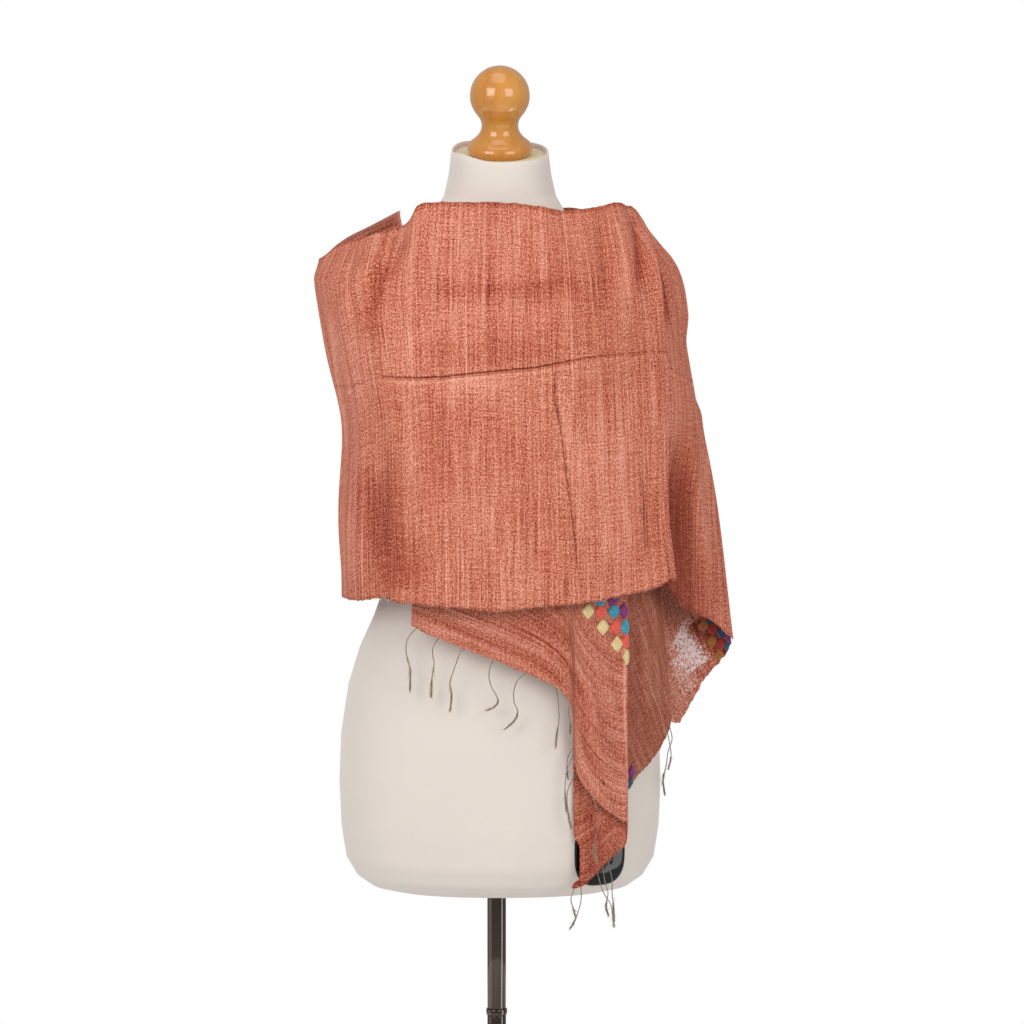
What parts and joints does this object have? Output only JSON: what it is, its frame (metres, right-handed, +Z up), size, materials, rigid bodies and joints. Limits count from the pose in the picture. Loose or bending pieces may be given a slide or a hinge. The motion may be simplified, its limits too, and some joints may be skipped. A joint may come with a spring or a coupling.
{
  "type": "silk scarf on a limbless dress form with stand",
  "caption": "Raw silk stole with fringed, embroidered ends wound round the shoulders of a limbless dress form with a turned knob, on a pole stand with a round base.",
  "frame": {"origin": "on the underside of the stand's base, under the middle of the form", "axes": "+Z up, -Y out of the form's front, +X to the viewer's right"},
  "size_m": [0.4452, 0.34, 1.505],
  "materials": {
    "silk": "raw silk with slubs and a soft sheen",
    "silk_reverse": "reverse of the raw silk with embroidered squares",
    "fringe_thread": "twisted undyed silk thread",
    "jersey": "smooth cream jersey",
    "neck_cap": "pale yellow matte cover",
    "knob_wood": "gloss lacquered honey wood",
    "dark_metal": "dark bronze, polished",
    "black_plate": "gloss black, bare"
  },
  "bodies": {
    "root": {"scarf_front": "silk", "scarf_flap": "silk", "scarf_back": "silk", "scarf_shoulder_band": "silk", "scarf_tail_front": "silk", "scarf_tail_back": "silk", "scarf_side": "silk", "scarf_corner": "silk_reverse", "fringe_tail": "fringe_thread", "fringe_tip": "fringe_thread", "fringe_side": "fringe_thread", "form_trunk": "jersey", "form_neck_cap": "neck_cap", "form_knob": "knob_wood", "form_patch": "black_plate", "stand_pole_upper": "dark_metal", "stand_joint": "dark_metal", "stand_pole_lower": "dark_metal", "stand_base": "dark_metal"}
  },
  "joints": []
}
